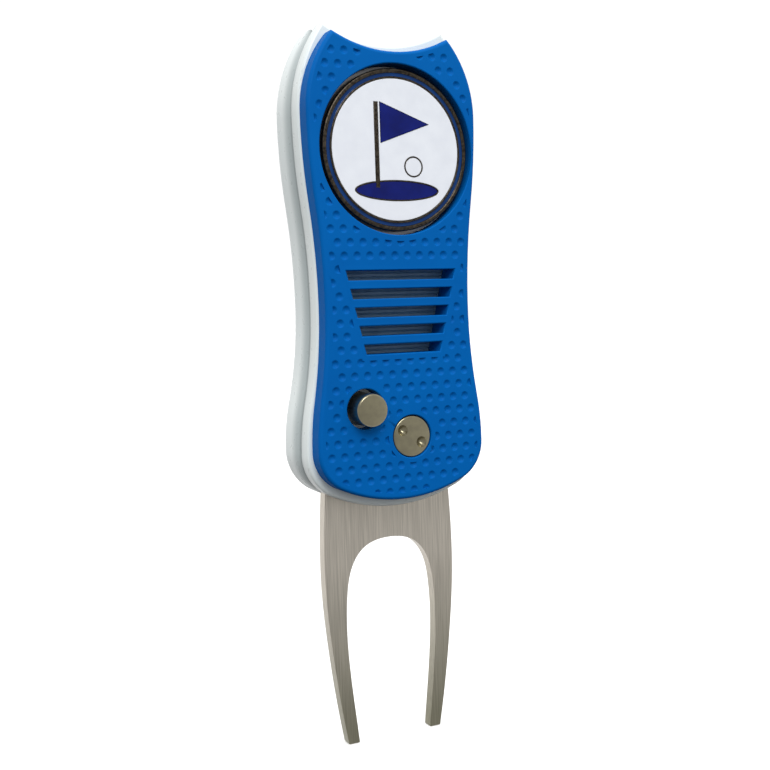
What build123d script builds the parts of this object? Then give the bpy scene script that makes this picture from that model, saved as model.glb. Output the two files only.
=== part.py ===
from build123d import *
import math
import os

# Folding divot repair tool.
# Frame: +X right, +Y towards the back of the handle, +Z up, origin at the centre of the box.
# Every section is drawn in (x, h): h is the height above the prong tips.
# Depths run backwards from the front face of the cover. All sizes are in mm.

LENGTH = 113.08          # prong tips to the ears of the head
BUTTON_PROUD = 2.5       # button face in front of the cover
COVER_BACK = 2.9         # cover / frame joint
FRAME_BACK = 5.8         # frame / shell parting line, front wall of the blade slot
BLADE_FRONT = 6.3
BLADE_BACK = 8.3
LINER_FRONT = 8.7        # rear wall of the blade slot
LINER_BACK = 9.3
SHELL_BACK = 13.0        # overall handle thickness
FRONT_Y = -(SHELL_BACK - BUTTON_PROUD) / 2
BASE_Z = -LENGTH / 2

# Outline of the handle (the cover; frame and shell are grown from it)
EAR_X = 9.8
EAR_H = 111.4
SADDLE_H = 108.9
CHEEK_HALF = 14.3        # half width at the lower cheeks
CORNER_R = 6.5
BOTTOM_R = 25.0
BOTTOM_CENTRE_H = 64.95
HEAD_HALF = 14.33        # half width of the head, at HEAD_H
HEAD_H = 99.5
WAIST_HALF = 12.4
WAIST_H = 70.5
UPPER_SPLIT = 0.46       # share of the head-to-waist turn that bulges outwards
LOWER_SPLIT = 0.34       # the same from the waist down to the cheeks
FRAME_SIDE = 0.35        # frame overhang past the cover at the sides
SHELL_SIDE = 0.5         # shell overhang past the cover at the sides
BODY_ENDS = 1.4          # frame and shell overhang at both ends
FRAME_FLARE = 0.45       # further overhang of the frame at the cheeks
SHELL_FLARE = 0.65       # further overhang of the shell at the cheeks

# Ball marker and its magnetic seat
FACE_X = 0.5             # marker and grille stand this far right of the handle's axis
MARKER_H = 94.07
MARKER_HOLE_R = 13.0
MARKER_R = 12.4
MARKER_FRONT = 0.5
MARKER_BACK = 2.4
GROOVE_OUT_R = 11.65
GROOVE_IN_R = 11.15
FIELD_R = 10.8
ENAMEL_BACK = 0.85
ENAMEL_FRONT = 0.55
SEAT_R = 12.85
SEAT_FRONT = 2.45
SEAT_BACK = 3.7
MAGNET_R = 5.0
MAGNET_BACK = 4.1

# Grille: five slots between two slanted lines
SLOT_COUNT = 5
SLOT_TOP_H = 75.73
SLOT_PITCH = 2.84
SLOT_HEIGHT = 1.52
SLOT_HALF = 9.4          # half width at the top of the first slot
SLOT_SLANT = 0.235       # half width lost per mm downwards
GRILLE_BACK = 3.9
BACKING_BACK = 4.8

# Pivot
PIVOT_X = 1.48
PIVOT_H = 49.76
HEAD_R = 3.25
BARREL_R = 2.5
SCREW_R = 1.45
RUNNING = 0.05           # radial clearance of the running fits
SPANNER_OFFSET = 1.9
SPANNER_R = 0.78
SPANNER_ANGLE = -32.0

# Button
BUTTON_X = -6.35
BUTTON_H = 54.53
BUTTON_R = 2.55
NECK_R = 1.7
COLLAR_R = 3.2
COLLAR_NOTCH_R = 3.3
POCKET_BACK = 12.1

# Fork blade
TANG_R = 7.25
SHOULDER_H = 45.1
PRONG_TIP_IN = 6.45
PRONG_TIP_OUT = 8.35
OUTER_EDGE = [(11.0, 41.5), (11.45, 34.0), (11.45, 25.0), (10.7, 16.0), (9.7, 8.0), (8.35, 0.0)]
INNER_EDGE = [(6.45, 0.0), (7.2, 7.0), (8.0, 17.5), (7.75, 24.5), (6.9, 28.5), (4.7, 31.6)]
ARCH_H = 32.9

# Spine, pins and screws
SPINE_X = -9.2           # inner face of the spine wall
SPINE_END_H = 47.2       # end of the spine's full width
SPINE_TOE_X = -11.85     # its narrow toe runs on past the blade's left edge
SWEEP_R = 51.4           # room swept by the prong tips
STOP_R = 1.2
STOP_PLACES = [(-7.73, 46.41), (-9.45, 60.0)]
DOWEL_R = 0.75
DOWEL_PLACES = [(-11.05, 71.0), (-11.3, 84.0)]
SCREW_PLACES = [(-9.0, 106.2), (9.0, 106.2), (-11.0, 53.5)]
SPRING_R = 4.15
SPRING_WIRE_R = 0.3
PEG_R = 0.45
PEG_ORBIT = 5.3


def slab(section, front, back):
    """Solid of a section between two depths."""
    plane = Plane(origin=(0, FRONT_Y + back, BASE_Z), x_dir=(1, 0, 0), z_dir=(0, -1, 0))
    return extrude(plane * section, back - front)


def disc(radius, x, h, front, back):
    return slab(Pos(x, h) * Circle(radius), front, back)


def ring(outer, inner, x, h, front, back):
    return slab(Pos(x, h) * (Circle(outer) - Circle(inner)), front, back)


def turned(profile, x, h):
    """Solid of revolution about an axis along Y; profile is (radius, depth)."""
    points = [(x + r, FRONT_Y + depth, BASE_Z + h) for r, depth in profile]
    face = make_face(Polyline(*points, close=True))
    axis = Axis((x, FRONT_Y, BASE_Z + h), (0, 1, 0))
    return revolve(face, axis, 360)


def mirrored(points):
    return [(-x, h) for x, h in reversed(points)]


def through(centre, start, end):
    """Arc from start to end around a centre, by the short way."""
    radius = math.dist(centre, start)
    dx = start[0] + end[0] - 2 * centre[0]
    dh = start[1] + end[1] - 2 * centre[1]
    reach = radius / math.hypot(dx, dh)
    return ThreePointArc(start, (centre[0] + dx * reach, centre[1] + dh * reach), end)


def s_curve(wide, slim, split):
    """Two tangent arcs between two upright points: bulging at wide, hollow at slim."""
    run = abs(wide[1] - slim[1])
    lean = 2 * math.atan((wide[0] - slim[0]) / run)
    radii = run / math.sin(lean)
    outer = radii * split
    way = math.copysign(1, slim[1] - wide[1])
    c_out = (wide[0] - outer, wide[1])
    c_in = (slim[0] + radii - outer, slim[1])
    meet = (c_out[0] + outer * math.cos(lean), c_out[1] + way * outer * math.sin(lean))
    return [through(c_out, wide, meet), through(c_in, meet, slim)]


def handle_outline(side, ends, flare=0.0):
    """Handle outline, grown sideways by side, at both ends by ends, at the cheeks by flare."""
    half = CHEEK_HALF + side + flare
    bottom_r = BOTTOM_R + ends
    corner_r = CORNER_R + 1.6 * flare
    corner_x = half - corner_r
    drop = math.sqrt((bottom_r - corner_r) ** 2 - corner_x**2)
    corner = (corner_x, BOTTOM_CENTRE_H - drop)
    reach = bottom_r / (bottom_r - corner_r)
    foot = (reach * corner_x, BOTTOM_CENTRE_H - reach * drop)
    cheek = (half, corner[1])
    ear = (EAR_X + 0.3 * ends, EAR_H + 1.2 * ends)
    head = (HEAD_HALF + side, HEAD_H)
    waist = (WAIST_HALF + side, WAIST_H)
    gap = head[0] - ear[0]
    head_r = (gap**2 + (ear[1] - HEAD_H) ** 2) / (2 * gap)
    flank = [through((head[0] - head_r, HEAD_H), ear, head)]
    flank += s_curve(head, waist, UPPER_SPLIT)
    flank += s_curve(cheek, waist, LOWER_SPLIT)
    flank += [through(corner, cheek, foot)]
    edges = flank + [edge.mirror(Plane.YZ) for edge in flank]
    edges.append(ThreePointArc((-ear[0], ear[1]), (0, SADDLE_H + ends), ear))
    edges.append(ThreePointArc(foot, (0, BOTTOM_CENTRE_H - bottom_r), (-foot[0], foot[1])))
    return make_face(Wire(edges))


def slot_section(index):
    top = SLOT_TOP_H - SLOT_PITCH * index
    low = top - SLOT_HEIGHT
    wide = SLOT_HALF - SLOT_SLANT * (SLOT_TOP_H - top)
    slim = SLOT_HALF - SLOT_SLANT * (SLOT_TOP_H - low)
    corners = [
        (FACE_X - wide, top), (FACE_X + wide, top),
        (FACE_X + slim, low), (FACE_X - slim, low),
    ]
    return make_face(Polyline(*corners, close=True))


def grille_section(margin):
    top = SLOT_TOP_H + 1.2 + margin
    low = SLOT_TOP_H - SLOT_PITCH * (SLOT_COUNT - 1) - SLOT_HEIGHT - 1.2 - margin
    wide = SLOT_HALF + 1.1 + margin
    slim = wide - SLOT_SLANT * (top - low)
    corners = [
        (FACE_X - wide, top), (FACE_X + wide, top),
        (FACE_X + slim, low), (FACE_X - slim, low),
    ]
    return make_face(Polyline(*corners, close=True))


def front_edge(solid):
    return solid.faces().sort_by(Axis.Y)[0].outer_wire().edges()


def back_edge(solid):
    return solid.faces().sort_by(Axis.Y)[-1].outer_wire().edges()


def spanner_dimples(x, h, front, back):
    angle = math.radians(SPANNER_ANGLE)
    dx = SPANNER_OFFSET * math.cos(angle)
    dh = SPANNER_OFFSET * math.sin(angle)
    first = disc(SPANNER_R, x + dx, h + dh, front, back)
    return first + disc(SPANNER_R, x - dx, h - dh, front, back)


def make_front_cover():
    body = slab(handle_outline(0, 0), 0, COVER_BACK)
    body = fillet(front_edge(body), 0.6)
    body += slab(grille_section(0), COVER_BACK, GRILLE_BACK)
    body -= disc(MARKER_HOLE_R, FACE_X, MARKER_H, -1, GRILLE_BACK + 1)
    for index in range(SLOT_COUNT):
        body -= slab(slot_section(index), -1, GRILLE_BACK + 1)
    body -= disc(BUTTON_R + 0.6, BUTTON_X, BUTTON_H, -1, GRILLE_BACK)
    body -= disc(HEAD_R + 0.1, PIVOT_X, PIVOT_H, -1, 1.7)
    body -= disc(BARREL_R + RUNNING, PIVOT_X, PIVOT_H, 1, GRILLE_BACK)
    return body


def make_front_frame():
    body = slab(handle_outline(FRAME_SIDE, BODY_ENDS, FRAME_FLARE), COVER_BACK, FRAME_BACK)
    body = fillet(front_edge(body), 0.5)
    body = chamfer(back_edge(body), 0.2)
    body -= disc(SEAT_R, FACE_X, MARKER_H, COVER_BACK - 1, SEAT_BACK)
    body -= disc(MAGNET_R, FACE_X, MARKER_H, COVER_BACK, MAGNET_BACK)
    body -= slab(grille_section(0.1), COVER_BACK - 1, BACKING_BACK)
    body -= disc(BUTTON_R + 0.07, BUTTON_X, BUTTON_H, 0, FRAME_BACK + 1)
    body -= disc(BARREL_R + RUNNING, PIVOT_X, PIVOT_H, 0, FRAME_BACK + 1)
    body -= ring(5.9, 3.7, PIVOT_X, PIVOT_H, 3.5, FRAME_BACK + 1)
    leg_slot = Pos(PIVOT_X, PIVOT_H + 6.3) * Rectangle(0.8, 2.0)
    body -= slab(leg_slot, 3.5, FRAME_BACK + 1)
    for x, h in SCREW_PLACES:
        body -= disc(1.6, x, h, 3.75, FRAME_BACK + 1)
    for x, h in STOP_PLACES:
        body -= disc(STOP_R, x, h, 4.3, FRAME_BACK + 1)
    for x, h in DOWEL_PLACES:
        body -= disc(DOWEL_R, x, h, 4.3, FRAME_BACK + 1)
    return body


def blade_space():
    """Slot for the folded and swinging fork, seen from the front."""
    low = Pos(SPINE_TOE_X + 30, SPINE_END_H - 30) * Rectangle(60, 60)
    swing = Pos(PIVOT_X, PIVOT_H) * Circle(SWEEP_R)
    right = Pos(SPINE_X + 50, 75) * Rectangle(100, 120)
    return slab(low + (swing & right), FRAME_BACK - 1, LINER_FRONT)


def make_rear_shell():
    body = slab(handle_outline(SHELL_SIDE, BODY_ENDS, SHELL_FLARE), FRAME_BACK, SHELL_BACK)
    body = fillet(back_edge(body), 2.1)
    body -= blade_space()
    body -= slab(handle_outline(-1.55, -0.4), LINER_FRONT - 0.1, LINER_BACK)
    hollow = slab(handle_outline(-3.2, -2.0), LINER_BACK, 11.4)
    hollow -= disc(4.1, PIVOT_X, PIVOT_H, LINER_BACK, 12)
    hollow -= disc(4.3, BUTTON_X, BUTTON_H, LINER_BACK, 12)
    for x, h in SCREW_PLACES:
        hollow -= disc(2.6, x, h, LINER_BACK, 12)
    for height in (66.0, 80.0, 94.0):
        rib = slab(Pos(0, height) * Rectangle(40, 1.2), LINER_BACK, 12)
        hollow -= rib
    body -= hollow
    body += slab(spine_section(), FRAME_BACK, LINER_BACK)
    body -= disc(BARREL_R + RUNNING, PIVOT_X, PIVOT_H, LINER_FRONT, SHELL_BACK + 1)
    body -= disc(3.65, PIVOT_X, PIVOT_H, 11.9, SHELL_BACK + 1)
    body -= disc(COLLAR_R + 0.1, BUTTON_X, BUTTON_H, LINER_FRONT, POCKET_BACK)
    for x, h in SCREW_PLACES:
        body -= turned([(0, 5), (1.05, 5), (1.05, 11.8), (2.1, 12.85), (2.1, 14), (0, 14)], x, h)
    for x, h in STOP_PLACES:
        body -= disc(STOP_R, x, h, FRAME_BACK - 1, 9.9)
    for x, h in DOWEL_PLACES:
        body -= disc(DOWEL_R, x, h, FRAME_BACK - 1, 7.6)
    return body


def spine_section():
    """Solid wall that joins shell and frame along the left side and over the head."""
    wall = handle_outline(SHELL_SIDE, BODY_ENDS, SHELL_FLARE)
    low = Pos(SPINE_TOE_X + 30, SPINE_END_H - 30) * Rectangle(60, 60)
    swing = Pos(PIVOT_X, PIVOT_H) * Circle(SWEEP_R)
    right = Pos(SPINE_X + 50, 75) * Rectangle(100, 120)
    return wall - low - (swing & right)


def make_rear_liner():
    plate = slab(handle_outline(-1.6, -0.45) - spine_section(), LINER_FRONT, LINER_BACK)
    plate -= disc(BARREL_R + RUNNING, PIVOT_X, PIVOT_H, LINER_FRONT - 1, LINER_BACK + 1)
    plate -= disc(NECK_R + 0.3, BUTTON_X, BUTTON_H, LINER_FRONT - 1, LINER_BACK + 1)
    for x, h in STOP_PLACES:
        plate -= disc(STOP_R, x, h, LINER_FRONT - 1, LINER_BACK + 1)
    return plate


def make_fork_blade():
    left_inner = mirrored(INNER_EDGE)
    inner = list(reversed(left_inner))
    inner += [(0, ARCH_H)]
    inner += list(reversed(INNER_EDGE))
    outer_right = list(reversed(OUTER_EDGE))
    edges = [
        Spline(*[(-x, h) for x, h in OUTER_EDGE]),
        Line((-PRONG_TIP_OUT, 0), (-PRONG_TIP_IN, 0)),
        Spline(*inner),
        Line((PRONG_TIP_IN, 0), (PRONG_TIP_OUT, 0)),
        Spline(*outer_right),
        Line((11.0, 41.5), (11.0, SHOULDER_H)),
        Line((11.0, SHOULDER_H), (-11.0, SHOULDER_H)),
        Line((-11.0, SHOULDER_H), (-11.0, 41.5)),
    ]
    section = make_face(Wire(edges))
    section += Pos(PIVOT_X, PIVOT_H) * Circle(TANG_R)
    wedge = [(PIVOT_X, PIVOT_H)]
    for angle in (-46.0, -20.0, 10.0):
        wedge.append((
            PIVOT_X + 30 * math.cos(math.radians(angle)),
            PIVOT_H + 30 * math.sin(math.radians(angle)),
        ))
    track = Pos(PIVOT_X, PIVOT_H) * (Circle(11.35) - Circle(TANG_R))
    section -= track & make_face(Polyline(*wedge, close=True))
    section -= Pos(BUTTON_X, BUTTON_H) * Circle(COLLAR_NOTCH_R)
    section -= Pos(2 * PIVOT_X - BUTTON_X, 2 * PIVOT_H - BUTTON_H) * Circle(COLLAR_NOTCH_R)
    section -= Pos(PIVOT_X, PIVOT_H) * Circle(BARREL_R + RUNNING)
    section -= Pos(PIVOT_X, PIVOT_H - PEG_ORBIT) * Circle(PEG_R)
    blade = slab(section, BLADE_FRONT, BLADE_BACK)
    return max(blade.solids(), key=lambda piece: piece.volume)


def make_spring_peg():
    return disc(PEG_R, PIVOT_X, PIVOT_H - PEG_ORBIT, 4.6, BLADE_BACK - 0.1)


def make_torsion_spring():
    """Two and a half turns, with a leg up into the frame and a leg down to the peg."""
    start = (PIVOT_X, FRONT_Y + 3.95, BASE_Z + PIVOT_H)
    path = Helix(pitch=0.66, height=0.66 * 2.5, radius=SPRING_R, center=start, direction=(0, 1, 0))
    wire = Plane(origin=path @ 0, z_dir=path % 0) * Circle(SPRING_WIRE_R)
    coil = sweep(wire, path).rotate(Axis(start, (0, 1, 0)), -90)
    fixed = Pos(PIVOT_X, start[1], start[2] + SPRING_R + 1.4) * Cylinder(SPRING_WIRE_R, 2.9)
    reach = PEG_ORBIT - PEG_R - SPRING_R
    middle = start[2] - SPRING_R - reach / 2 + 0.05
    moving = Pos(PIVOT_X, start[1] + 0.66 * 2.5, middle) * Cylinder(SPRING_WIRE_R, reach + 0.05)
    return coil + fixed + moving


def make_pivot_screw():
    profile = [
        (0, 0.1), (HEAD_R - 0.2, 0.1), (HEAD_R, 0.3), (HEAD_R, 1.65),
        (SCREW_R, 1.65), (SCREW_R, 10.2), (0, 10.2),
    ]
    screw = turned(profile, PIVOT_X, PIVOT_H)
    return screw - spanner_dimples(PIVOT_X, PIVOT_H, 0, 0.8)


def make_pivot_barrel():
    profile = [
        (SCREW_R + RUNNING, 1.75), (BARREL_R, 1.75), (BARREL_R, 11.95), (3.6, 11.95),
        (3.6, 12.75), (3.4, 12.95), (0, 12.95), (0, 10.6), (SCREW_R + RUNNING, 10.6),
    ]
    barrel = turned(profile, PIVOT_X, PIVOT_H)
    return barrel - spanner_dimples(PIVOT_X, PIVOT_H, 12.2, 14)


def make_push_button():
    profile = [
        (0, -BUTTON_PROUD), (BUTTON_R - 0.25, -BUTTON_PROUD), (BUTTON_R, 0.25 - BUTTON_PROUD),
        (BUTTON_R, 3.9), (NECK_R, 3.9), (NECK_R, 10.4), (0, 10.4),
    ]
    return turned(profile, BUTTON_X, BUTTON_H)


def make_button_spring():
    start = (BUTTON_X, FRONT_Y + 10.4, BASE_Z + BUTTON_H)
    path = Helix(pitch=0.5, height=1.45, radius=2.45, center=start, direction=(0, 1, 0))
    wire = Plane(origin=path @ 0, z_dir=path % 0) * Circle(0.2)
    return sweep(wire, path)


def make_case_screws():
    screws = []
    for x, h in SCREW_PLACES:
        profile = [
            (0, 4.2), (0.95, 4.2), (0.95, 11.85), (1.0, 11.85), (1.95, 12.8), (0, 12.8),
        ]
        screws.append(turned(profile, x, h))
    return Compound(children=screws)


def make_thread_inserts():
    inserts = [ring(1.6, 1.0, x, h, 3.8, FRAME_BACK - 0.05) for x, h in SCREW_PLACES]
    return Compound(children=inserts)


def pins(places, radius, front, back):
    return Compound(children=[disc(radius, x, h, front, back) for x, h in places])


def motif_section():
    """Generic golf flag on a pole, a ball beside it and the green below."""
    pole = Pos(FACE_X - 3.3, MARKER_H + 0.7) * Rectangle(0.7, 13.0)
    x0 = FACE_X - 2.65
    pennant = [(x0, MARKER_H + 7.2), (x0 + 8.4, MARKER_H + 4.1), (x0, MARKER_H + 1.0)]
    flag = make_face(Polyline(*pennant, close=True))
    green = Pos(FACE_X, MARKER_H - 6.2) * Ellipse(7.2, 1.6)
    ball = Pos(FACE_X + 2.9, MARKER_H - 2.5) * Circle(1.6)
    return [pole, flag, green, ball]


def make_marker_disc():
    body = disc(MARKER_R, FACE_X, MARKER_H, MARKER_FRONT, MARKER_BACK)
    body = chamfer(front_edge(body), 0.2)
    body -= ring(GROOVE_OUT_R, GROOVE_IN_R, FACE_X, MARKER_H, 0, ENAMEL_BACK)
    body -= disc(FIELD_R, FACE_X, MARKER_H, 0, ENAMEL_BACK)
    return body


def make_marker_field():
    field = disc(FIELD_R, FACE_X, MARKER_H, ENAMEL_FRONT, ENAMEL_BACK)
    for section in motif_section():
        field -= slab(section, 0, ENAMEL_BACK + 1)
    return field


def make_marker_motif():
    merged = motif_section()[0]
    for section in motif_section()[1:]:
        merged += section
    return slab(merged, ENAMEL_FRONT, ENAMEL_BACK)


NODES = {
    "front_cover": make_front_cover(),
    "front_frame": make_front_frame(),
    "grille_backing": slab(grille_section(0.05), GRILLE_BACK + 0.1, BACKING_BACK),
    "rear_shell": make_rear_shell(),
    "rear_liner": make_rear_liner(),
    "pivot_screw": make_pivot_screw(),
    "pivot_barrel": make_pivot_barrel(),
    "front_washer": ring(3.6, BARREL_R + RUNNING, PIVOT_X, PIVOT_H, FRAME_BACK, 6.2),
    "rear_washer": ring(3.9, BARREL_R + RUNNING, PIVOT_X, PIVOT_H, 8.4, LINER_FRONT),
    "torsion_spring": make_torsion_spring(),
    "stop_pins": pins(STOP_PLACES, STOP_R, 4.35, 9.85),
    "dowel_pins": pins(DOWEL_PLACES, DOWEL_R, 4.35, 7.55),
    "case_screws": make_case_screws(),
    "thread_inserts": make_thread_inserts(),
    "marker_seat": ring(SEAT_R, MAGNET_R, FACE_X, MARKER_H, SEAT_FRONT, SEAT_BACK),
    "magnet": disc(MAGNET_R, FACE_X, MARKER_H, SEAT_FRONT + 0.05, MAGNET_BACK),
    "fork_blade": make_fork_blade(),
    "spring_peg": make_spring_peg(),
    "push_button": make_push_button(),
    "lock_collar": ring(COLLAR_R, NECK_R, BUTTON_X, BUTTON_H, LINER_BACK + 0.05, 10.15),
    "button_spring": make_button_spring(),
    "marker_disc": make_marker_disc(),
    "marker_ring": ring(GROOVE_OUT_R, GROOVE_IN_R, FACE_X, MARKER_H, ENAMEL_FRONT, ENAMEL_BACK),
    "marker_field": make_marker_field(),
    "marker_motif": make_marker_motif(),
}

os.makedirs("parts", exist_ok=True)
for name, shape in NODES.items():
    export_step(shape, f"parts/{name}.step")
    box = shape.bounding_box()
    print(f"{name:16s} solids {len(shape.solids())} volume {shape.volume:9.2f} y {box.min.Y:.2f} {box.max.Y:.2f}")
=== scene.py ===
import math

import bmesh
import bpy
from mathutils import Matrix, Vector
from mathutils.bvhtree import BVHTree


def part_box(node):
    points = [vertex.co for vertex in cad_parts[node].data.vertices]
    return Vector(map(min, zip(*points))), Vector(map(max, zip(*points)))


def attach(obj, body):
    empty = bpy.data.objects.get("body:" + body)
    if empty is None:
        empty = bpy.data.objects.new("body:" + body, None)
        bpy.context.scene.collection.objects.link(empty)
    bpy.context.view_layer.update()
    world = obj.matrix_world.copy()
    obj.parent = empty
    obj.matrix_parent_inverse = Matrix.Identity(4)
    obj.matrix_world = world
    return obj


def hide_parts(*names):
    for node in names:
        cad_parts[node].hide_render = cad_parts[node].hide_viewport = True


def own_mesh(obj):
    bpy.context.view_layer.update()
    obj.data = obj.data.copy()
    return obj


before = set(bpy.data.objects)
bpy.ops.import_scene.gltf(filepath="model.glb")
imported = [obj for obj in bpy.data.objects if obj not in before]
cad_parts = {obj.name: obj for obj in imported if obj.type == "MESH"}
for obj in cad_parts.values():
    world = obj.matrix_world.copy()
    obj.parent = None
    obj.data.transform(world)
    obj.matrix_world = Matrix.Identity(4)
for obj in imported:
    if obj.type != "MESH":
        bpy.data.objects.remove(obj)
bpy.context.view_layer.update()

# ---------------------------------------------------------------- front cover
# The blue grip plate of the handle: ABS with a soft-touch skin, moulded in one shot and
# welded to the frame. Its face has a staggered field of round finger dimples that stops
# short of the rim, the marker hole, the grille and the two hardware holes.

MM = 0.001
COVER_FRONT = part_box("front_cover")[0].y
COVER_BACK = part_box("front_frame")[0].y
TIP_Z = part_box("fork_blade")[0].z
RIM_ROUND = 0.6
HOLE_ROUND = 0.16
MOUTH = [(0.16, 0.0), (0.1, 0.012), (0.047, 0.047), (0.012, 0.1), (0.0, 0.16)]


def linear(code):
    """An sRGB hex colour as linear RGBA."""
    parts = [int(code[i : i + 2], 16) / 255 for i in (0, 2, 4)]
    return (*[c / 12.92 if c <= 0.04045 else ((c + 0.055) / 1.055) ** 2.4 for c in parts], 1.0)


def add(material, kind, settings=None, sockets=None):
    """Adds a node; a socket takes a plain value or another node's output."""
    tree = material.node_tree
    new = tree.nodes.new(kind)
    for key, value in (settings or {}).items():
        setattr(new, key, value)
    for key, value in (sockets or {}).items():
        if isinstance(value, bpy.types.NodeSocket):
            tree.links.new(value, new.inputs[key])
        else:
            new.inputs[key].default_value = value
    return new


def surface(name, shine):
    """A new material with its one shader, whose plain values are in shine."""
    material = bpy.data.materials.new(name)
    material.use_nodes = True
    material.node_tree.nodes.clear()
    shader = add(material, "ShaderNodeBsdfPrincipled", None, shine)
    add(material, "ShaderNodeOutputMaterial", None, {"Surface": shader.outputs["BSDF"]})
    return material, shader


def place(material, centre=(0, 0, 0), stretch=(1, 1, 1)):
    """Object coordinates in metres, centred on a point, then stretched."""
    shift = [-c * s for c, s in zip(centre, stretch)]
    coords = add(material, "ShaderNodeTexCoord").outputs["Object"]
    sockets = {"Vector": coords, "Location": shift, "Scale": stretch}
    return add(material, "ShaderNodeMapping", None, sockets).outputs["Vector"]


def grain(material, size_mm, detail=2.0, where=None):
    """Noise with blobs about size_mm across."""
    sockets = {"Vector": where or place(material), "Scale": 1 / (size_mm * MM), "Detail": detail}
    return add(material, "ShaderNodeTexNoise", None, sockets).outputs["Fac"]


def tint(material, value, first, second, low=0.3, high=0.7):
    """Blends two hex colours over a value."""
    ramp = add(material, "ShaderNodeValToRGB", None, {"Fac": value})
    ends = ramp.color_ramp.elements
    ends[0].position, ends[0].color = low, linear(first)
    ends[1].position, ends[1].color = high, linear(second)
    return ramp.outputs["Color"]


def spread(material, value, low, high):
    """Maps 0..1 to low..high."""
    sockets = {"Value": value, "To Min": low, "To Max": high}
    return add(material, "ShaderNodeMapRange", None, sockets).outputs["Result"]


def relief(material, height, depth_mm, under=None):
    """Bump that stands depth_mm tall where height is 1."""
    sockets = {"Height": height, "Distance": depth_mm * MM}
    if under is not None:
        sockets["Normal"] = under
    return add(material, "ShaderNodeBump", None, sockets).outputs["Normal"]


def join(material, shader, links):
    for socket, value in links.items():
        material.node_tree.links.new(value, shader.inputs[socket])


def loose(name, bm):
    """An object that isn't a piece yet, such as a cutter."""
    mesh = bpy.data.meshes.new(name)
    bm.to_mesh(mesh)
    bm.free()
    thing = bpy.data.objects.new(name, mesh)
    bpy.context.scene.collection.objects.link(thing)
    return thing


def carve(thing, cutter, operation="DIFFERENCE"):
    """Cuts a thing with a cutter for good, at a size in mm that suits the solver."""
    for part in (thing, cutter):
        part.data.transform(Matrix.Scale(1 / MM, 4))
    step = thing.modifiers.new("carve", "BOOLEAN")
    step.operation = operation
    step.solver = "EXACT"
    step.object = cutter
    graph = bpy.context.evaluated_depsgraph_get()
    result = bpy.data.meshes.new_from_object(thing.evaluated_get(graph))
    thing.modifiers.clear()
    thing.data = result
    thing.data.transform(Matrix.Scale(MM, 4))
    bpy.data.objects.remove(cutter)
    return thing


def soften(bm, width_mm, segments=3, pick=None, sharper=40.0):
    """Rounds the crisp edges that pick accepts."""
    crisp = [
        edge for edge in bm.edges
        if len(edge.link_faces) == 2
        and edge.calc_face_angle(0) > math.radians(sharper)
        and (pick is None or pick(edge))
    ]
    bmesh.ops.bevel(
        bm, geom=crisp, offset=width_mm * MM, offset_type="OFFSET", segments=segments,
        profile=0.5, affect="EDGES", material=-1, clamp_overlap=False,
    )


def soften_thing(thing, *args, **kwargs):
    bm = bmesh.new()
    bm.from_mesh(thing.data)
    soften(bm, *args, **kwargs)
    bm.to_mesh(thing.data)
    bm.free()


def at_depth(y):
    """Picks the edges that lie in the plane of one depth."""
    return lambda edge: all(abs(vert.co.y - y) < 0.002 * MM for vert in edge.verts)


def finished(thing, name, body, material, stands_for=(), crease=32.0):
    """Turns a thing into a finished piece that rides on a body."""
    thing.name = thing.data.name = name
    thing.data.materials.clear()
    thing.data.materials.append(material)
    thing.data.shade_smooth()
    thing.data.set_sharp_from_angle(angle=math.radians(crease))
    weights = thing.modifiers.new("weights", "WEIGHTED_NORMAL")
    weights.keep_sharp = True
    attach(thing, body)
    if stands_for:
        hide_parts(*stands_for)
    return thing


def merged(node):
    """A copy of a CAD node's mesh with its doubles merged and its flats whole."""
    bm = bmesh.new()
    bm.from_mesh(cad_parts[node].data)
    bmesh.ops.remove_doubles(bm, verts=bm.verts, dist=0.0005 * MM)
    bmesh.ops.dissolve_limit(
        bm, angle_limit=math.radians(0.15), verts=bm.verts, edges=bm.edges,
        use_dissolve_boundaries=False,
    )
    return bm


def middle(node):
    low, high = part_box(node)
    return (low + high) / 2


def depth(mm):
    """Where a depth behind the cover's front face is, in metres."""
    return COVER_FRONT + mm * MM


def height(mm):
    """Where a height above the prong tips is, in metres."""
    return TIP_Z + mm * MM


def pulled(bm, face, front, back):
    """Moves one face to a front depth and pulls it into a bar that ends at a back depth."""
    for vert in face.verts:
        vert.co.y = front
    for part in bmesh.ops.extrude_face_region(bm, geom=[face], use_keep_orig=True)["geom"]:
        if isinstance(part, bmesh.types.BMVert):
            part.co.y = back
    bmesh.ops.recalc_face_normals(bm, faces=bm.faces)
    return bm


def post(centre, radius_mm, front, back, sides=96):
    """A round bar along Y between two depths."""
    bm = bmesh.new()
    bmesh.ops.create_circle(bm, cap_ends=True, segments=sides, radius=radius_mm * MM)
    turn = Matrix.Translation((centre.x, 0, centre.z)) @ Matrix.Rotation(math.pi / 2, 4, "X")
    bmesh.ops.transform(bm, matrix=turn, verts=bm.verts)
    bm.faces.ensure_lookup_table()
    return pulled(bm, bm.faces[0], front, back)


def flared_post(centre, radius_mm, back_mm, sides=96):
    """A round bar whose mouth flares, so that the hole it cuts has a rounded edge."""
    profile = [(0, -1), (radius_mm + HOLE_ROUND, -1)]
    profile += [(radius_mm + out, down) for out, down in MOUTH]
    return lathe(profile + [(radius_mm, back_mm), (0, back_mm)], centre, sides)


def bar(corners, front, back):
    """A bar along Y with flat sides, from its corners in x and z."""
    bm = bmesh.new()
    face = bm.faces.new([bm.verts.new((x, 0, z)) for x, z in corners])
    return pulled(bm, face, front, back)


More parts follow.
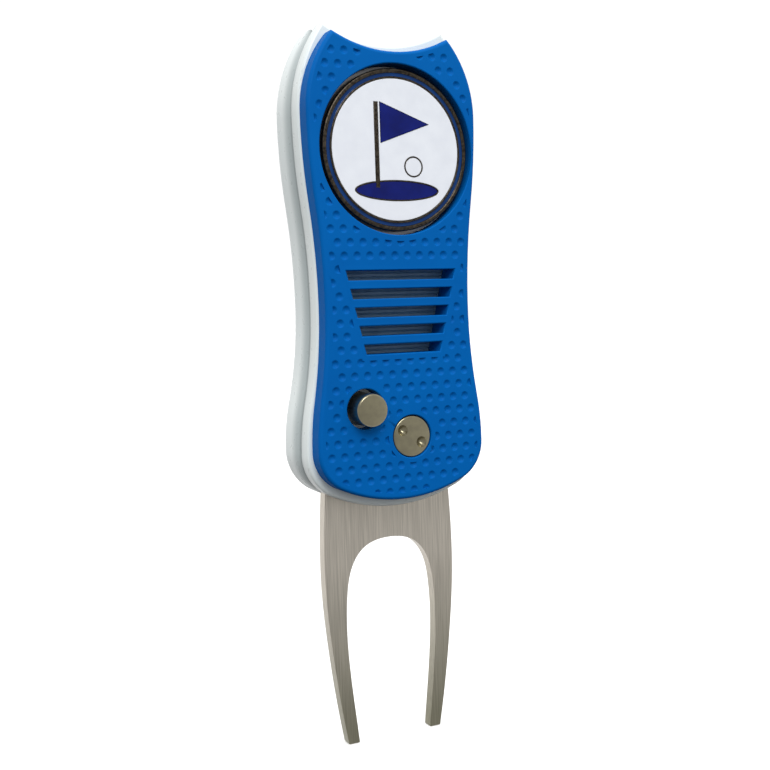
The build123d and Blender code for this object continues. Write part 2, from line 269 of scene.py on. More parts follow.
def outline_plate(node, where, inset_mm, front, back):
    """A plate with a node's outer outline at one depth, drawn in by inset_mm."""
    bm = merged(node)
    everything = list(bm.verts) + list(bm.edges) + list(bm.faces)
    bmesh.ops.bisect_plane(
        bm, geom=everything, dist=0.0001 * MM, plane_co=(0, where, 0), plane_no=(0, 1, 0),
        clear_outer=True, clear_inner=True,
    )
    start = max(bm.verts, key=lambda vert: vert.co.z)
    outer, todo = set(), [start]
    while todo:
        vert = todo.pop()
        for edge in vert.link_edges:
            if edge not in outer:
                outer.add(edge)
                todo.append(edge.other_vert(vert))
    bmesh.ops.delete(bm, geom=[edge for edge in bm.edges if edge not in outer], context="EDGES")
    face = bmesh.ops.contextual_create(bm, geom=list(bm.edges))["faces"][0]
    steps = math.ceil(inset_mm / 0.08)
    for _ in range(steps):
        bmesh.ops.inset_region(
            bm, faces=[face], thickness=inset_mm * MM / steps, use_even_offset=True,
            use_boundary=True,
        )
        rim = [other for other in bm.faces if other is not face]
        bmesh.ops.delete(bm, geom=rim, context="FACES")
        bmesh.ops.remove_doubles(bm, verts=bm.verts, dist=0.15 * MM)
        bm.faces.ensure_lookup_table()
        face = bm.faces[0]
    return pulled(bm, face, front, back)


def lathe(profile, centre, sides=96):
    """A turned solid about an axis along Y; the profile is (radius, depth) in mm."""
    bm = bmesh.new()
    points = [bm.verts.new((centre.x + r * MM, depth(d), centre.z)) for r, d in profile]
    edges = [bm.edges.new(pair) for pair in zip(points, points[1:])]
    if profile[0][0] or profile[-1][0]:
        edges.append(bm.edges.new((points[-1], points[0])))
    bmesh.ops.spin(
        bm, geom=points + edges, axis=(0, 1, 0), cent=centre, dvec=(0, 0, 0),
        angle=math.tau, steps=sides, use_merge=True, use_duplicate=False,
    )
    bmesh.ops.remove_doubles(bm, verts=bm.verts, dist=0.001 * MM)
    stray = [edge for edge in bm.edges if not edge.link_faces]
    bmesh.ops.delete(bm, geom=stray, context="EDGES")
    bmesh.ops.recalc_face_normals(bm, faces=bm.faces)
    return bm


def flared_slot(top_mm, low_mm, back_mm):
    """A bar with slanted ends and a flared mouth, for one grille slot."""
    bm = bmesh.new()
    loops = []
    for out, down in [(HOLE_ROUND, -1), *MOUTH, (0, back_mm)]:
        corners = trapezoid(top_mm + out, low_mm - out, out)
        ring = [bm.verts.new((x, depth(down), z)) for x, z in corners]
        loops.append([bm.edges.new(pair) for pair in zip(ring, ring[1:] + ring[:1])])
    for first, second in zip(loops, loops[1:]):
        bmesh.ops.bridge_loops(bm, edges=first + second)
    bmesh.ops.holes_fill(bm, edges=loops[0] + loops[-1], sides=4)
    bmesh.ops.recalc_face_normals(bm, faces=bm.faces)
    return bm


marker_axis = middle("marker_disc")
button_axis = middle("push_button")
pivot_axis = middle("pivot_screw")

SLOT_COUNT = 5
SLOT_TOP = 75.73
SLOT_PITCH = 2.84
SLOT_HEIGHT = 1.52
SLOT_HALF = 9.4
SLOT_SLANT = 0.235
MARKER_HOLE_R = 13.0
BUTTON_HOLE_R = 3.15
HEAD_HOLE_R = 3.35


def trapezoid(top_mm, low_mm, margin_mm=0.0):
    """Corners of a part of the grille between two heights."""
    def half(mm):
        return (SLOT_HALF + margin_mm - SLOT_SLANT * (SLOT_TOP - mm)) * MM
    middle_x = marker_axis.x
    return [
        (middle_x - half(top_mm), height(top_mm)), (middle_x + half(top_mm), height(top_mm)),
        (middle_x + half(low_mm), height(low_mm)), (middle_x - half(low_mm), height(low_mm)),
    ]


GRILLE_LOW = SLOT_TOP - SLOT_PITCH * (SLOT_COUNT - 1) - SLOT_HEIGHT

cover = loose("cover", outline_plate("front_cover", depth(1.5), 0, depth(0), COVER_BACK))
soften_thing(cover, RIM_ROUND, 6, at_depth(depth(0)))
block = bar(trapezoid(SLOT_TOP + 1.2, GRILLE_LOW - 1.2, 1.1), COVER_BACK - 0.2 * MM, depth(3.9))
carve(cover, loose("grille_block", block), "UNION")
carve(cover, loose("marker_hole", flared_post(marker_axis, MARKER_HOLE_R, 5, 160)))
for index in range(SLOT_COUNT):
    slot_top = SLOT_TOP - SLOT_PITCH * index
    carve(cover, loose("grille_slot", flared_slot(slot_top, slot_top - SLOT_HEIGHT, 5)))
carve(cover, loose("button_hole", flared_post(button_axis, BUTTON_HOLE_R, 5)))
head_seat = [(0, -1), (HEAD_HOLE_R + HOLE_ROUND, -1)]
head_seat += [(HEAD_HOLE_R + out, down) for out, down in MOUTH]
head_seat += [(HEAD_HOLE_R, 1.7), (2.55, 1.7), (2.55, 5), (0, 5)]
carve(cover, loose("head_seat", lathe(head_seat, pivot_axis)))

DIMPLE_PROFILE = [(0.0, 0.34), (0.27, 0.31), (0.47, 0.17), (0.62, 0.045), (0.76, -0.03)]
DIMPLE_SIDES = 14
DIMPLE_ROW = 2.033
DIMPLE_STEP = 2.13
DIMPLE_SIDEWAYS = 0.48
DIMPLE_LOW = 41.35


def within(border, spot):
    """Whether a spot is inside a closed shape: a line from it crosses its walls an odd number
    of times."""
    crossings, start = 0, spot
    while True:
        hit = border.ray_cast(start, Vector((1, 0, 0)))[0]
        if hit is None:
            return crossings % 2 == 1
        crossings += 1
        start = hit + Vector((0.0001 * MM, 0, 0))


def dimples(face_y, way, low_mm, rows, field):
    """Cutter for a field of soft-lipped bowls that sink from a face along way, 1 or -1."""
    one = bmesh.new()
    profile = DIMPLE_PROFILE + [(0.76, -0.3), (0.0, -0.3)]
    points = [one.verts.new((r * MM, face_y + way * d * MM, 0)) for r, d in profile]
    edges = [one.edges.new(pair) for pair in zip(points, points[1:])]
    bmesh.ops.spin(
        one, geom=points + edges, axis=(0, 1, 0), cent=(0, 0, 0), dvec=(0, 0, 0),
        angle=math.tau, steps=DIMPLE_SIDES, use_merge=True, use_duplicate=False,
    )
    bmesh.ops.remove_doubles(one, verts=one.verts, dist=0.001 * MM)
    bmesh.ops.recalc_face_normals(one, faces=one.faces)
    pattern = bpy.data.meshes.new("dimple")
    one.to_mesh(pattern)
    one.free()
    reach = DIMPLE_PROFILE[-1][0] * MM
    border = BVHTree.FromObject(field, bpy.context.evaluated_depsgraph_get())
    whole, clipped = bmesh.new(), bmesh.new()
    for row in range(rows):
        z = height(low_mm + row * DIMPLE_ROW)
        shift = DIMPLE_SIDEWAYS + DIMPLE_STEP / 2 * (1 - row % 2)
        for column in range(-7, 8):
            x = (column * DIMPLE_STEP + shift) * MM
            spot = Vector((x, face_y, z))
            gap = border.find_nearest(spot)[3]
            inside = within(border, spot)
            if gap > 0.3 * reach and not inside:
                continue
            many = whole if gap > reach else clipped
            before = len(many.verts)
            many.from_mesh(pattern)
            many.verts.ensure_lookup_table()
            bmesh.ops.translate(many, verts=many.verts[before:], vec=(x, 0, z))
    bpy.data.meshes.remove(pattern)
    cut = carve(loose("clipped_dimples", clipped), field, "INTERSECT")
    whole.from_mesh(cut.data)
    bpy.data.objects.remove(cut)
    return loose("dimples", whole)


field = loose("field", outline_plate("front_cover", depth(1.5), 1.05, depth(-4), depth(4)))
for axis, radius in ((marker_axis, 13.95), (button_axis, 3.9), (pivot_axis, 4.1)):
    carve(field, loose("island", post(axis, radius, depth(-5), depth(5))))
island = bar(trapezoid(SLOT_TOP + 0.9, GRILLE_LOW - 0.9, 1.0), depth(-5), depth(5))
carve(field, loose("island", island))
carve(cover, dimples(depth(0), 1, DIMPLE_LOW, 36, field))

# Soft-touch ABS from a spark-eroded mould: a satin skin with hardly any gloss, deep and
# even in colour, with a very fine tooth. The tooth is drawn at 0.25 mm, coarser than real.
soft_blue, shader = surface(
    "soft_touch_blue_abs",
    {"Roughness": 0.5, "IOR": 1.46, "Specular IOR Level": 0.045},
)
join(soft_blue, shader, {
    "Base Color": tint(soft_blue, grain(soft_blue, 9.0), "0059A5", "005EAB"),
    "Roughness": spread(soft_blue, grain(soft_blue, 0.6), 0.46, 0.58),
    "Normal": relief(soft_blue, grain(soft_blue, 0.25, 3.0), 0.006),
})
finished(cover, "front_grip_cover", "case", soft_blue, ["front_cover"])

# ---------------------------------------------------------------- grille backing
# A dark plate behind the grille slots, ABS, dropped into a pocket of the frame before the
# cover goes on. It has fine level ribs that show through the slots.

RIB_PITCH = 0.71
back_low, back_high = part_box("grille_backing")
backing = loose("backing", bar(
    trapezoid(SLOT_TOP + 1.25, GRILLE_LOW - 1.25, 1.15), back_low.y, back_high.y,
))
grooves = bmesh.new()
rib_z = back_low.z + 0.5 * RIB_PITCH * MM
while rib_z < back_high.z:
    turned_bar = Matrix.Translation((marker_axis.x, back_low.y, rib_z)) @ Matrix.Rotation(
        math.pi / 4, 4, "X"
    ) @ Matrix.Diagonal((26 * MM, 0.26 * MM, 0.26 * MM, 1))
    bmesh.ops.create_cube(grooves, size=1.0, matrix=turned_bar)
    rib_z += RIB_PITCH * MM
carve(backing, loose("grooves", grooves))

# Dark slate ABS, satin: a cool grey with a soft sheen along the ribs.
slate_abs, shader = surface("slate_abs", {"Roughness": 0.38, "IOR": 1.5})
join(slate_abs, shader, {
    "Base Color": tint(slate_abs, grain(slate_abs, 2.0), "6890AC", "749CB8"),
    "Normal": relief(slate_abs, grain(slate_abs, 0.2), 0.005),
})
finished(backing, "ribbed_grille_backing", "case", slate_abs, ["grille_backing"])

# ---------------------------------------------------------------- front frame
# The white bezel half of the case, injection-moulded ABS polished in the mould. The cover
# is welded to its face, and it carries the magnet seat, the stop pins and the inserts.


def crown(bm, node, edge, full_outline, in_mm, deep_mm, share=None):
    """Curves a case half's outer wall in towards the parting line at one of its edges."""
    way = 1 if full_outline > edge else -1
    near_edge, far = edge - way * 5 * MM, full_outline + way * 5 * MM
    plate = outline_plate(node, full_outline, 0, min(near_edge, far), max(near_edge, far))
    wall = BVHTree.FromBMesh(plate)
    for step in range(1, 8):
        cut = (0, edge + way * deep_mm * MM * (step / 8) ** 1.6, 0)
        everything = list(bm.verts) + list(bm.edges) + list(bm.faces)
        bmesh.ops.bisect_plane(bm, geom=everything, dist=0.001 * MM, plane_co=cut, plane_no=(0, 1, 0))
    for vert in bm.verts:
        down = way * (vert.co.y - edge) / (deep_mm * MM)
        near, normal, _, gap = wall.find_nearest(vert.co)
        if not -0.01 < down < 1 or gap > 0.03 * MM:
            continue
        inward = in_mm * MM * (1 - math.sqrt(1 - (1 - max(down, 0)) ** 2))
        vert.co -= normal * inward * (share(vert.co) if share else 1)
    plate.free()
    return bm


FRAME_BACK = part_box("rear_shell")[0].y
bezel = loose("bezel", crown(
    merged("front_frame"), "front_frame", FRAME_BACK, FRAME_BACK - 1.2 * MM, 0.4, 0.9,
))

# Gloss white ABS: bright, slightly cool, clear soft reflections and a hint of flow marks.
# Painted shade darkens the valley at the parting line, mostly on the shell's side of it.
gloss_white, shader = surface(
    "gloss_white_abs",
    {"IOR": 1.52, "Specular IOR Level": 0.5, "Subsurface Weight": 0.0},
)
valley = add(gloss_white, "ShaderNodeSeparateXYZ", None, {
    "Vector": place(gloss_white, (0, FRAME_BACK - 2 * MM, 0), (1, 1 / (6 * MM), 1)),
}).outputs["Y"]
# Painted shade: a grey band across the parting valley, fading to white on either side.
painted_valley_shade = add(gloss_white, "ShaderNodeValToRGB", None, {"Fac": valley})
painted_valley_shade.color_ramp.interpolation = "EASE"
VALLEY_SHADE_STOPS = [(0.0, "FFFFFF"), (0.31, "F0F1F1"), (0.34, "A2A6A8"), (0.5, "C6CACB"), (0.9, "FFFFFF")]
for _ in range(len(VALLEY_SHADE_STOPS) - 2):
    painted_valley_shade.color_ramp.elements.new(0.5)
for stop, (where, code) in zip(painted_valley_shade.color_ramp.elements, VALLEY_SHADE_STOPS):
    stop.position, stop.color = where, linear(code)
white_with_painted_shade = add(
    gloss_white, "ShaderNodeMix", {"data_type": "RGBA", "blend_type": "MULTIPLY"},
    {0: 1.0, 6: tint(gloss_white, grain(gloss_white, 14.0), "D9E1E1", "E0E7E6"), 7: painted_valley_shade.outputs[0]},
).outputs[2]
join(gloss_white, shader, {
    "Base Color": white_with_painted_shade,
    "Roughness": spread(gloss_white, grain(gloss_white, 1.2), 0.24, 0.34),
})
finished(bezel, "bezel_frame", "case", gloss_white, ["front_frame"])

# ---------------------------------------------------------------- rear shell
# The white back half of the case, the same ABS. Its spine closes the left side and the
# head, and its palm side has the cover's dimples, a little shallower at the rounded rim.

SHELL_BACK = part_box("rear_shell")[1].y
SHELL_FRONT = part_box("rear_shell")[0].y
SPINE_END = 47.2
SPINE_TOE_X = -11.85


def toe(spot):
    """How much of the crown the spine has left as it runs out beside the blade."""
    if spot.z > height(SPINE_END):
        return 1
    return min(1, max(0, (SPINE_TOE_X * MM - spot.x) / (1.2 * MM)))


shell = loose("shell", crown(
    merged("rear_shell"), "rear_shell", SHELL_FRONT, SHELL_FRONT + 4.4 * MM, 1.1, 3.2, toe,
))
palm = loose("palm", outline_plate(
    "rear_shell", SHELL_BACK - 2.6 * MM, 3.3, SHELL_BACK - 4 * MM, SHELL_BACK + 4 * MM,
))
screw_low, screw_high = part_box("case_screws")
SCREW_HEAD_R = 1.95
screw_axes = [
    Vector((screw_low.x + SCREW_HEAD_R * MM, 0, height(53.5))),
    Vector((-9.0 * MM, 0, height(106.2))),
    Vector((9.0 * MM, 0, height(106.2))),
]
for axis in screw_axes:
    carve(palm, loose("island", post(axis, 3.1, SHELL_BACK - 5 * MM, SHELL_BACK + 5 * MM)))
carve(palm, loose("island", post(pivot_axis, 4.6, SHELL_BACK - 5 * MM, SHELL_BACK + 5 * MM)))
carve(shell, dimples(SHELL_BACK, -1, DIMPLE_LOW, 36, palm))
finished(shell, "rear_case_shell", "case", gloss_white, ["rear_shell"])

# ---------------------------------------------------------------- pivot
# A shoulder screw and its blind barrel, both turned from steel and nickel-plated. They
# clamp the case and carry the fork; a two-pin spanner turns them by their conical dimples.

SPANNER_OFFSET = 1.9
SPANNER_ANGLE = math.radians(-32)
HEAD_PROFILE = [
    (0, 0.1), (2.96, 0.1), (3.08, 0.13), (3.19, 0.2), (3.25, 0.32), (3.25, 1.65),
    (1.45, 1.65), (1.45, 10.2), (0, 10.2),
]
CONE = [(0.86, -0.25), (0.86, 0.02), (0.78, 0.13), (0.7, 0.24), (0.22, 0.72), (0, 0.78)]
BARREL_PROFILE = [
    (1.5, 1.75), (2.5, 1.75), (2.5, 11.95), (3.6, 11.95), (3.6, 12.66), (3.52, 12.84),
    (3.36, 12.95), (0, 12.95), (0, 10.6), (1.5, 10.6),
]


def spanner_holes(thing, face_mm, way):
    """Sinks the two conical holes of a pin spanner into a turned head."""
    for side in (-1, 1):
        x = pivot_axis.x + side * SPANNER_OFFSET * MM * math.cos(SPANNER_ANGLE)
        z = pivot_axis.z + side * SPANNER_OFFSET * MM * math.sin(SPANNER_ANGLE)
        profile = [(r, face_mm + way * d) for r, d in CONE]
        profile.insert(0, (0, profile[0][1]))
        carve(thing, loose("spanner_hole", lathe(profile, Vector((x, 0, z)), 40)))


def turned_rings(material, centre, pitch_mm):
    """Fine rings left by a turning tool on a face across Y."""
    where = place(material, centre, (1, 0, 1))
    return add(
        material, "ShaderNodeTexWave",
        {"wave_type": "RINGS", "rings_direction": "SPHERICAL"},
        {
            "Vector": where, "Scale": 0.314 / (pitch_mm * MM), "Distortion": 1.2,
            "Detail": 2.0, "Detail Scale": 3.0,
        },
    ).outputs["Fac"]


def nickel(name, centre):
    """Satin nickel plate over turned steel: warm grey, soft highlights, faint tool rings
    every 0.3 mm, drawn wider than the real 0.08 mm so that they show."""
    material, shader = surface(name, {"Metallic": 1.0})
    rings = turned_rings(material, centre, 0.3)
    join(material, shader, {
        "Base Color": tint(material, grain(material, 1.1), "8C8671", "989279"),
        "Roughness": spread(material, grain(material, 0.35), 0.25, 0.36),
        "Normal": relief(material, rings, 0.003, relief(material, grain(material, 0.3), 0.002)),
    })
    return material


pivot_nickel = nickel("turned_nickel_pivot", pivot_axis)
head = loose("head", lathe(HEAD_PROFILE, pivot_axis))
spanner_holes(head, 0.1, 1)
finished(head, "pivot_head_screw", "case", pivot_nickel, ["pivot_screw"])
barrel = loose("barrel", lathe(BARREL_PROFILE, pivot_axis))
spanner_holes(barrel, 12.95, -1)
finished(barrel, "pivot_barrel_nut", "case", pivot_nickel, ["pivot_barrel"])

# ---------------------------------------------------------------- push button
# The release button, turned from steel and nickel-plated like the pivot. It stands proud
# of the cover, and its neck passes through the frame to the lock collar.

BUTTON_PROFILE = [
    (0, -2.5), (2.26, -2.5), (2.36, -2.47), (2.47, -2.38), (2.53, -2.27), (2.55, -2.15),
    (2.55, 3.9), (1.7, 3.9), (1.7, 10.3), (1.6, 10.4), (0, 10.4),
]
button = loose("button", lathe(BUTTON_PROFILE, button_axis))
button_nickel = nickel("turned_nickel_button", button_axis)
finished(button, "release_button", "button", button_nickel, ["push_button"])

# ---------------------------------------------------------------- case screws
# Three countersunk cross-head screws, nickel-plated steel, driven from the back through
# the shell into brass inserts in the frame.

SCREW_PROFILE = [
    (0, 4.2), (0.8, 4.2), (0.95, 4.4), (0.95, 11.85), (1.0, 11.9), (1.88, 12.7),
    (1.92, 12.78), (1.86, 12.8), (0, 12.8),
]
screws = bmesh.new()
for axis in screw_axes:
    screw = loose("screw", lathe(SCREW_PROFILE, axis, 48))
    for turn in (math.radians(20), math.radians(110)):
        blade = bmesh.new()
        size = Matrix.Diagonal((2.3 * MM, 1.5 * MM, 0.42 * MM, 1))
        spot = Matrix.Translation((axis.x, depth(12.85), axis.z))
        bmesh.ops.create_cube(blade, size=1.0, matrix=spot @ Matrix.Rotation(turn, 4, "Y") @ size)
        for vert in blade.verts:
            if vert.co.y < depth(12.5):
                pull = Vector((axis.x, vert.co.y, axis.z))
                vert.co = pull + (vert.co - pull) * 0.45
        carve(screw, loose("cross", blade))
    screws.from_mesh(screw.data)
    bpy.data.objects.remove(screw)
screw_nickel = nickel("nickel_plated_screws", screw_axes[0])
finished(loose("screws", screws), "cross_head_case_screws", "case", screw_nickel, ["case_screws"])

# ---------------------------------------------------------------- fork
# The two-pronged blade: 2 mm stainless sheet, blanked, its edges broken, both faces
# brushed lengthwise. Its tang turns on the barrel and has two notches for the lock.

fork = merged("fork_blade")
soften(fork, 0.1, 2, sharper=50.0)
fork_thing = loose("fork", fork)

# Brushed stainless: fine lines from root to tip, drawn 0.12 mm wide where the real ones
# are 0.03 mm. Tone falls towards the tips as painted shade, standing in for dimmer reflections there.
brushed_steel, shader = surface(
    "brushed_stainless", {"Metallic": 1.0, "Anisotropic": 0.4, "Anisotropic Rotation": 0.25},
)
lines = grain(brushed_steel, 1.0, 3.0, place(brushed_steel, stretch=(8, 8, 0.12)))
fine = grain(brushed_steel, 1.0, 2.0, place(brushed_steel, stretch=(3, 3, 0.03)))
tip_shade_height = add(
    brushed_steel, "ShaderNodeSeparateXYZ", None,
    {"Vector": place(brushed_steel, (0, 0, TIP_Z), (1, 1, 1 / (42 * MM)))},
).outputs["Z"]
# Painted shade: the base tone darkens towards the tips, standing in for dimmer reflections.
painted_tip_shade = tint(brushed_steel, tip_shade_height, "8E8B79", "CEC7BB", 0.05, 0.7)
streak = tint(brushed_steel, lines, "D9D9D9", "FFFFFF")
blend = add(
    brushed_steel, "ShaderNodeMix", {"data_type": "RGBA", "blend_type": "MULTIPLY"},
    {0: 1.0, 6: painted_tip_shade, 7: streak},
).outputs[2]
join(brushed_steel, shader, {
    "Base Color": blend,
    "Roughness": spread(brushed_steel, fine, 0.3, 0.44),
    "Normal": relief(brushed_steel, lines, 0.006),
})
finished(fork_thing, "two_prong_blade", "fork", brushed_steel, ["fork_blade"])

# ---------------------------------------------------------------- ball marker
# A struck disc of gunmetal-plated iron held by the magnet under it. Its raised rings and
# outlines wall off cells of enamel: blue groove, white field, and a navy golf flag.

MARKER_PROFILE = [
    (0, 2.4), (12.2, 2.4), (12.34, 2.34), (12.4, 2.2), (12.4, 0.82), (12.36, 0.66),
    (12.26, 0.55), (12.12, 0.5), (11.92, 0.5), (11.76, 0.54), (11.68, 0.62), (11.65, 0.72),
    (11.65, 0.85), (11.15, 0.85), (11.15, 0.6), (11.1, 0.53), (11.03, 0.5), (10.92, 0.5),
    (10.85, 0.53), (10.8, 0.6), (10.8, 0.85), (0, 0.85),
]
GROOVE_PROFILE = [
    (11.65, 0.85), (11.65, 0.64), (11.58, 0.67), (11.4, 0.69), (11.22, 0.67), (11.15, 0.64),
    (11.15, 0.85),
]

# Gunmetal plate, black nickel over struck iron: dark, warm and glossy on the high lines,
# with a fine sandblast tooth.
gunmetal, shader = surface("gunmetal_plate", {"Metallic": 1.0})
join(gunmetal, shader, {
    "Base Color": tint(gunmetal, grain(gunmetal, 0.35), "2A2622", "544D43"),
    "Roughness": spread(gunmetal, grain(gunmetal, 0.5), 0.24, 0.4),
    "Normal": relief(gunmetal, grain(gunmetal, 0.3), 0.012),
})


def enamel(name, first, second, gloss):
    """Stoved enamel, poured into its cell: glassy, with a faint cloud in the colour."""
    material, shader = surface(
        name, {"IOR": 1.5, "Specular IOR Level": gloss, "Roughness": 0.14},
    )
    join(material, shader, {
        "Base Color": tint(material, grain(material, 2.5), first, second),
        "Normal": relief(material, grain(material, 3.0), 0.012),
    })
    return material


white_enamel = enamel("white_enamel", "DEE2EA", "E4E8EF", 0.5)
navy_enamel = enamel("navy_enamel", "04105A", "08186C", 0.2)
groove_enamel = enamel("groove_enamel", "042A5C", "06346C", 0.2)

marker = loose("marker", lathe(MARKER_PROFILE, marker_axis, 160))
finished(marker, "marker_struck_body", "marker", gunmetal, ["marker_disc"])
groove = loose("groove", lathe(GROOVE_PROFILE, marker_axis, 160))
finished(groove, "marker_groove_enamel", "marker", groove_enamel, ["marker_ring"])
white = merged("marker_field")
ENAMEL_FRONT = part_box("marker_field")[0].y
soften(white, 0.09, 3, at_depth(ENAMEL_FRONT), 50.0)
finished(
    loose("white", white), "marker_white_enamel", "marker", white_enamel,
    ["marker_field"],
)

WALL = 0.2
WALL_FRONT = depth(0.5)
ENAMEL_BACK = depth(0.85)


def around_marker(points):
    """A flat face from corners in mm from the marker's centre."""
    bm = bmesh.new()
    bm.faces.new([
        bm.verts.new((marker_axis.x + x * MM, WALL_FRONT, marker_axis.z + z * MM))
        for x, z in points
    ])
    return bm


def oval(x, z, half_x, half_z, sides=64):
    bm = bmesh.new()
    bmesh.ops.create_circle(bm, cap_ends=True, segments=sides, radius=1.0)
    size = Matrix.Diagonal((half_x * MM, 1, half_z * MM, 1))
    spot = Matrix.Translation((marker_axis.x + x * MM, WALL_FRONT, marker_axis.z + z * MM))
    turn = Matrix.Rotation(math.pi / 2, 4, "X")
    bmesh.ops.transform(bm, matrix=spot @ size @ turn, verts=bm.verts)
    return bm


walls = bmesh.new()


def cell(bm, wall=WALL):
    """Walls one cell in metal; gives back the enamel that fills it."""
    bm.faces.ensure_lookup_table()
    inner = bm.faces[0]
    bmesh.ops.inset_region(
        bm, faces=[inner], thickness=wall * MM, use_even_offset=True, use_boundary=True,
    )
    fill = bmesh.new()
    face = fill.faces.new([fill.verts.new(vert.co) for vert in inner.verts])
    pulled(fill, face, ENAMEL_FRONT, ENAMEL_BACK)
    soften(fill, 0.07, 2, at_depth(ENAMEL_FRONT), 50.0)
    bmesh.ops.delete(bm, geom=[inner], context="FACES_ONLY")
    raised = bmesh.ops.extrude_face_region(bm, geom=list(bm.faces), use_keep_orig=True)["geom"]
    for part in raised:
        if isinstance(part, bmesh.types.BMVert):
            part.co.y = ENAMEL_BACK
    bmesh.ops.recalc_face_normals(bm, faces=bm.faces)
    soften(bm, 0.04, 2, at_depth(WALL_FRONT), 50.0)
    piece = bpy.data.meshes.new("wall")
    bm.to_mesh(piece)
    bm.free()
    walls.from_mesh(piece)
    bpy.data.meshes.remove(piece)
    return fill


FLAG = [(-2.65, 7.2), (5.75, 4.1), (-2.65, 1.0)]
flag_fill = cell(around_marker(FLAG))
green_fill = cell(oval(0, -6.2, 7.2, 1.6))
ball_fill = cell(oval(2.9, -2.5, 1.6, 1.6, 48))
pole = bar(
    [
        (marker_axis.x + x * MM, marker_axis.z + z * MM)
        for x, z in ((-3.65, 7.2), (-2.95, 7.2), (-2.95, -5.8), (-3.65, -5.8))
    ],
    WALL_FRONT, ENAMEL_BACK,
)
soften(pole, 0.08, 3, at_depth(WALL_FRONT), 50.0)
pole_mesh = bpy.data.meshes.new("pole")
pole.to_mesh(pole_mesh)
pole.free()
walls.from_mesh(pole_mesh)
bpy.data.meshes.remove(pole_mesh)
finished(loose("walls", walls), "marker_motif_walls", "marker", gunmetal)
fills = (
    (flag_fill, "marker_flag_enamel", navy_enamel, "enamel_navy", ["marker_motif"]),
    (green_fill, "marker_green_enamel", navy_enamel, "enamel_navy", []),
    (ball_fill, "marker_ball_enamel", white_enamel, "enamel_white", []),
)
for fill, name, material, slot, stands_for in fills:
    finished(loose("fill", fill), name, "marker", material, stands_for)

# ---------------------------------------------------------------- parts under the covers
# The marker's seat and magnet, the liner, washers, springs, pins, inserts and lock collar
# keep their CAD shapes. Each gets the finish of the real part.


def dress(material, *nodes):
    for node in nodes:
        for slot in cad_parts[node].material_slots:
            slot.material = material


# Cold-rolled steel sheet and ground pins: neutral grey with a fine level grain.
liner_steel, shader = surface("cold_rolled_steel", {"Metallic": 1.0})
level = grain(liner_steel, 1.0, 3.0, place(liner_steel, stretch=(0.3, 4, 5)))
join(liner_steel, shader, {
    "Base Color": tint(liner_steel, level, "8A8B8C", "A3A4A4"),
    "Roughness": spread(liner_steel, level, 0.3, 0.45),
    "Normal": relief(liner_steel, level, 0.003),
})
dress(liner_steel, "rear_liner", "marker_seat", "stop_pins", "dowel_pins", "spring_peg", "lock_collar")

# Nickel-plated neodymium: bright and slightly yellow, with a soft orange-peel.
magnet_plate, shader = surface("nickel_plated_magnet", {"Metallic": 1.0})
join(magnet_plate, shader, {
    "Base Color": tint(magnet_plate, grain(magnet_plate, 1.5), "B5B1A4", "C3BFB3"),
    "Roughness": spread(magnet_plate, grain(magnet_plate, 0.8), 0.16, 0.26),
    "Normal": relief(magnet_plate, grain(magnet_plate, 0.5), 0.004),
})
dress(magnet_plate, "magnet")

# Natural nylon: milky, waxy and a little translucent.
nylon, shader = surface("natural_nylon", {"IOR": 1.53, "Roughness": 0.42, "Subsurface Weight": 0.1})
join(nylon, shader, {
    "Base Color": tint(nylon, grain(nylon, 1.0), "DAD6C8", "E4E1D5"),
    "Normal": relief(nylon, grain(nylon, 0.4), 0.006),
})
dress(nylon, "front_washer", "rear_washer")

# Drawn spring wire: dark grey-brown with a light oil sheen.
spring_wire, shader = surface("drawn_spring_wire", {"Metallic": 1.0})
join(spring_wire, shader, {
    "Base Color": tint(spring_wire, grain(spring_wire, 0.4), "4E4C48", "6B6862"),
    "Roughness": spread(spring_wire, grain(spring_wire, 0.2), 0.28, 0.42),
    "Normal": relief(spring_wire, grain(spring_wire, 0.15), 0.004),
})
dress(spring_wire, "torsion_spring")

# The button's return spring sits between its collar and the shell, on a mesh of its own.
spring = finished(
    loose("spring", merged("button_spring")), "button_return_spring", "case", spring_wire,
    ["button_spring"],
)
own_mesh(spring)

# Free-cutting brass: yellow, turned, dulled a little.
brass, shader = surface("turned_brass", {"Metallic": 1.0})
join(brass, shader, {
    "Base Color": tint(brass, grain(brass, 0.6), "B08D45", "C6A35A"),
    "Roughness": spread(brass, grain(brass, 0.3), 0.25, 0.38),
    "Normal": relief(brass, grain(brass, 0.25), 0.004),
})
dress(brass, "thread_inserts")

# ---------------------------------------------------------------- floor, light and camera
# A plain pale floor under the prong tips, a white surround that is brightest overhead, and a
# broad soft key from the upper left.

floor_bm = bmesh.new()
bmesh.ops.create_grid(
    floor_bm, x_segments=1, y_segments=1, size=3.0,
    matrix=Matrix.Translation((0, 0, TIP_Z - 0.05 * MM)),
)
floor = loose("studio_floor", floor_bm)
paper, shader = surface("white_paper", {"Roughness": 0.8, "Specular IOR Level": 0.1})
join(paper, shader, {"Base Color": tint(paper, grain(paper, 60.0), "F8F8F7", "FBFBFA")})
floor.data.materials.append(paper)
floor.visible_diffuse = floor.visible_glossy = False

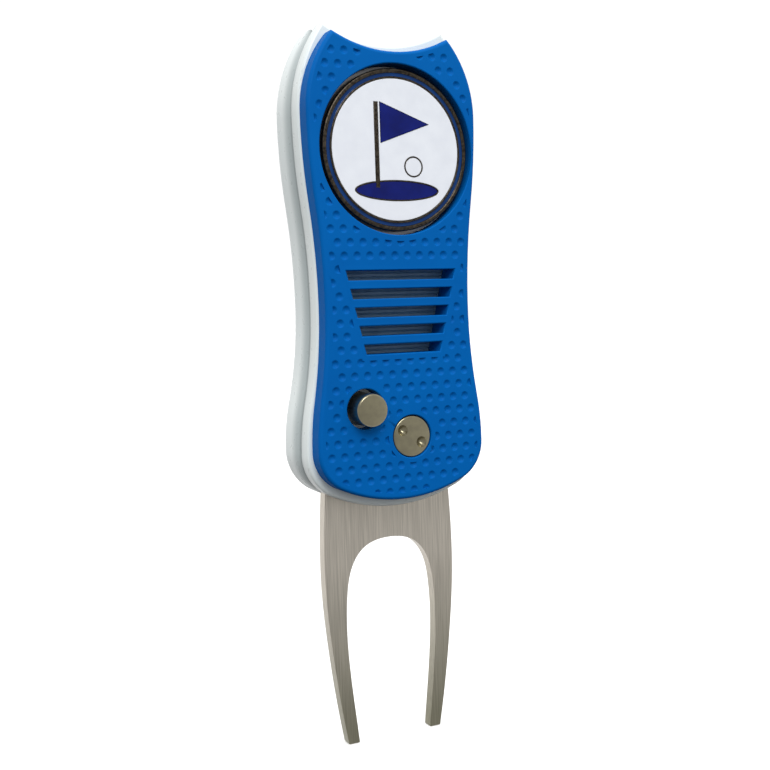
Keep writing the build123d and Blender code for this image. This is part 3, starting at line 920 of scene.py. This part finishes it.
# The surround is a light tent, brightest overhead and dark below. Mirrored in the tool it is
# white behind and dimmer where it opens in front. The backdrop stays plain white.
BACKDROP = 1.08
OPENING_WAY = (-0.45, -0.88, -0.10)
world = bpy.data.worlds.new("light_tent")
world.use_nodes = True
world.node_tree.nodes.clear()
sky = add(world, "ShaderNodeTexCoord").outputs["Generated"]
facing = add(
    world, "ShaderNodeVectorMath", {"operation": "DOT_PRODUCT"}, {0: sky, 1: OPENING_WAY},
).outputs["Value"]
mirrored = add(
    world, "ShaderNodeMapRange", {"interpolation_type": "SMOOTHSTEP"},
    {"Value": facing, "From Min": -0.6, "From Max": 1.0, "To Min": 1.12, "To Max": 0.5},
).outputs["Result"]
upward = add(world, "ShaderNodeSeparateXYZ", None, {"Vector": sky}).outputs["Z"]
lit = add(
    world, "ShaderNodeMapRange", None,
    {"Value": upward, "From Min": -0.5, "From Max": 0.9, "To Min": 0.0, "To Max": 1.7},
).outputs["Result"]
path = add(world, "ShaderNodeLightPath").outputs
level = add(
    world, "ShaderNodeMix", {"data_type": "FLOAT"}, {0: path["Is Glossy Ray"], 2: lit, 3: mirrored},
).outputs[0]
tent = add(world, "ShaderNodeBackground", None, {"Color": (1, 1, 1, 1), "Strength": level})
backdrop = add(world, "ShaderNodeBackground", None, {"Color": (1, 1, 1, 1), "Strength": BACKDROP})
both = add(
    world, "ShaderNodeMixShader", None,
    {0: path["Is Camera Ray"], 1: tent.outputs[0], 2: backdrop.outputs[0]},
)
add(world, "ShaderNodeOutputWorld", None, {"Surface": both.outputs[0]})
bpy.context.scene.world = world


def soft_light(name, spot, aim, size, watts):
    lamp = bpy.data.lights.new(name, "AREA")
    lamp.shape = "RECTANGLE"
    lamp.size, lamp.size_y = size
    lamp.energy = watts
    holder = bpy.data.objects.new(name, lamp)
    bpy.context.scene.collection.objects.link(holder)
    way = Vector(aim) - Vector(spot)
    holder.matrix_world = Matrix.Translation(spot) @ way.to_track_quat("-Z", "Y").to_matrix().to_4x4()


soft_light("key", (-0.10, -0.42, 0.36), (0, 0, 0.0), (0.22, 0.22), 1.5)

lens = bpy.data.cameras.new("camera")
lens.lens = 51.204
lens.sensor_width = 36.0
lens.clip_start, lens.clip_end = 0.01, 20.0
camera = bpy.data.objects.new("camera", lens)
bpy.context.scene.collection.objects.link(camera)
YAW, PITCH, ROLL = (math.radians(a) for a in (-26.049, -4.110, -1.856))
turn = (
    Matrix.Rotation(YAW, 4, "Z") @ Matrix.Rotation(math.pi / 2 + PITCH, 4, "X")
    @ Matrix.Rotation(ROLL, 4, "Z")
)
camera.matrix_world = Matrix.Translation((-0.076982, -0.156573, 0.013640)) @ turn
bpy.context.scene.camera = camera
bpy.context.scene.view_settings.view_transform = "Standard"
